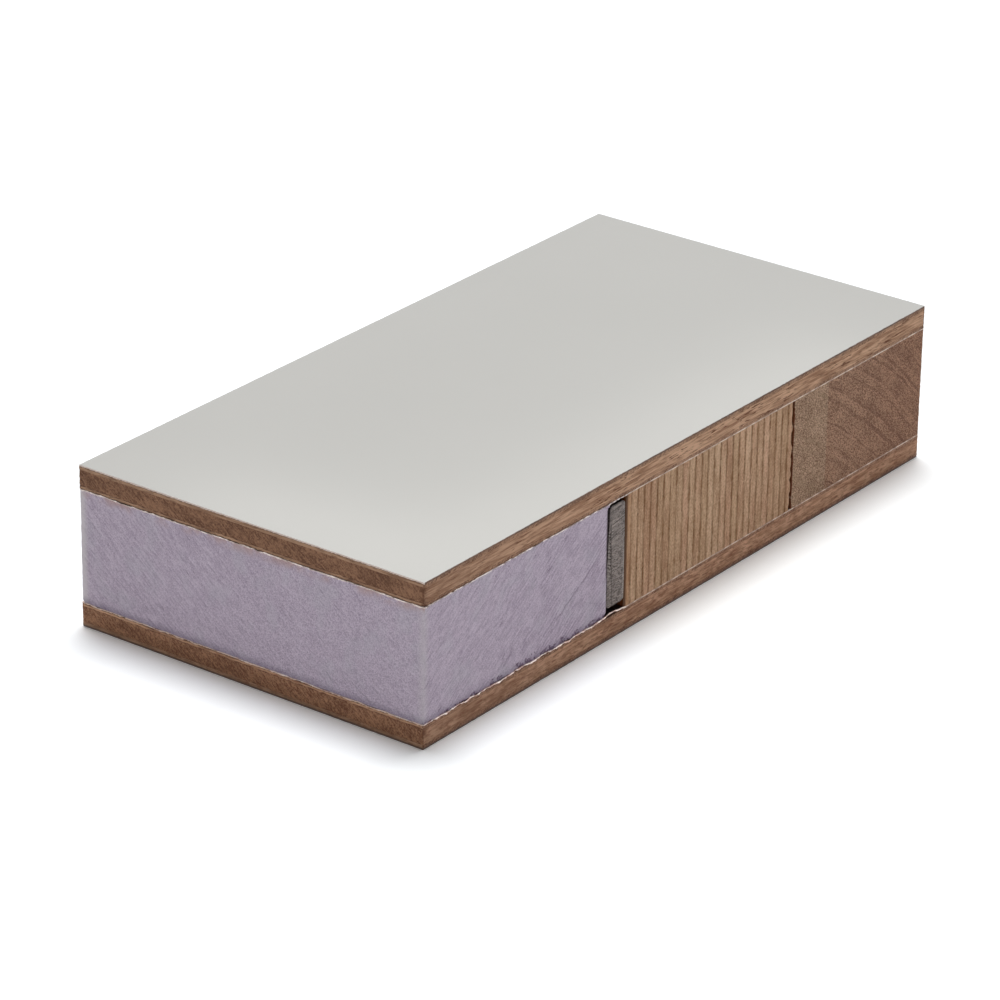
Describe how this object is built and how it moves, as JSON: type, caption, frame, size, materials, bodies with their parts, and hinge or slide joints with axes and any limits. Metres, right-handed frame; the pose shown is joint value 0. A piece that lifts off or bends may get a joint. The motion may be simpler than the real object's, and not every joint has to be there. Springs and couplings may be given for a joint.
{
  "type": "insulated door panel",
  "caption": "Sawn sample block of an insulated timber door leaf: laminated plywood and aluminium skins over a foam core, steel flat bar, veneer lumber stile and hardwood edge.",
  "frame": {"origin": "centre of the lower laminate's face, which the sample lies on", "axes": "+X across the door from the foam to the hardwood closing edge, +Y along the door's height, +Z through the leaf's thickness, up as it lies"},
  "size_m": [0.3354, 0.1654, 0.068],
  "materials": {
    "laminate": "fine matt decorative laminate, pale grey, dark core at its edges",
    "face_ply": "sawn plywood veneer, grain along Y",
    "middle_ply": "sawn plywood core ply, grain along X",
    "aluminium_sheet": "sawn sheet edge with a fine burr",
    "foam": "sawn lilac extruded foam",
    "flat_bar": "hot rolled bar with sawn ends",
    "lvl_veneer": "sawn softwood veneer with dark glue lines, grain along Y",
    "inner_lamella": "sawn greyish hardwood, grain along Y",
    "edge_lamella": "sawn reddish hardwood, grain along Y"
  },
  "bodies": {
    "root": {"laminate_top": "laminate", "plywood_outer_ply_top": "face_ply", "plywood_middle_ply_top": "middle_ply", "plywood_inner_ply_top": "face_ply", "aluminium_sheet_top": "aluminium_sheet", "laminate_bottom": "laminate", "plywood_outer_ply_bottom": "face_ply", "plywood_middle_ply_bottom": "middle_ply", "plywood_inner_ply_bottom": "face_ply", "aluminium_sheet_bottom": "aluminium_sheet", "foam_core": "foam", "steel_flat_bar": "flat_bar", "lvl_veneer_01": "lvl_veneer", "lvl_veneer_02": "lvl_veneer", "lvl_veneer_03": "lvl_veneer", "lvl_veneer_04": "lvl_veneer", "lvl_veneer_05": "lvl_veneer", "lvl_veneer_06": "lvl_veneer", "lvl_veneer_07": "lvl_veneer", "lvl_veneer_08": "lvl_veneer", "lvl_veneer_09": "lvl_veneer", "lvl_veneer_10": "lvl_veneer", "lvl_veneer_11": "lvl_veneer", "lvl_veneer_12": "lvl_veneer", "lvl_veneer_13": "lvl_veneer", "lvl_veneer_14": "lvl_veneer", "lvl_veneer_15": "lvl_veneer", "lvl_veneer_16": "lvl_veneer", "lvl_veneer_17": "lvl_veneer", "lvl_veneer_18": "lvl_veneer", "lvl_veneer_19": "lvl_veneer", "lvl_veneer_20": "lvl_veneer", "lvl_veneer_21": "lvl_veneer", "lvl_veneer_22": "lvl_veneer", "lvl_veneer_23": "lvl_veneer", "lvl_veneer_24": "lvl_veneer", "lvl_veneer_25": "lvl_veneer", "lvl_veneer_26": "lvl_veneer", "lvl_veneer_27": "lvl_veneer", "hardwood_inner_lamella": "inner_lamella", "hardwood_edge_lamella": "edge_lamella"}
  },
  "joints": []
}
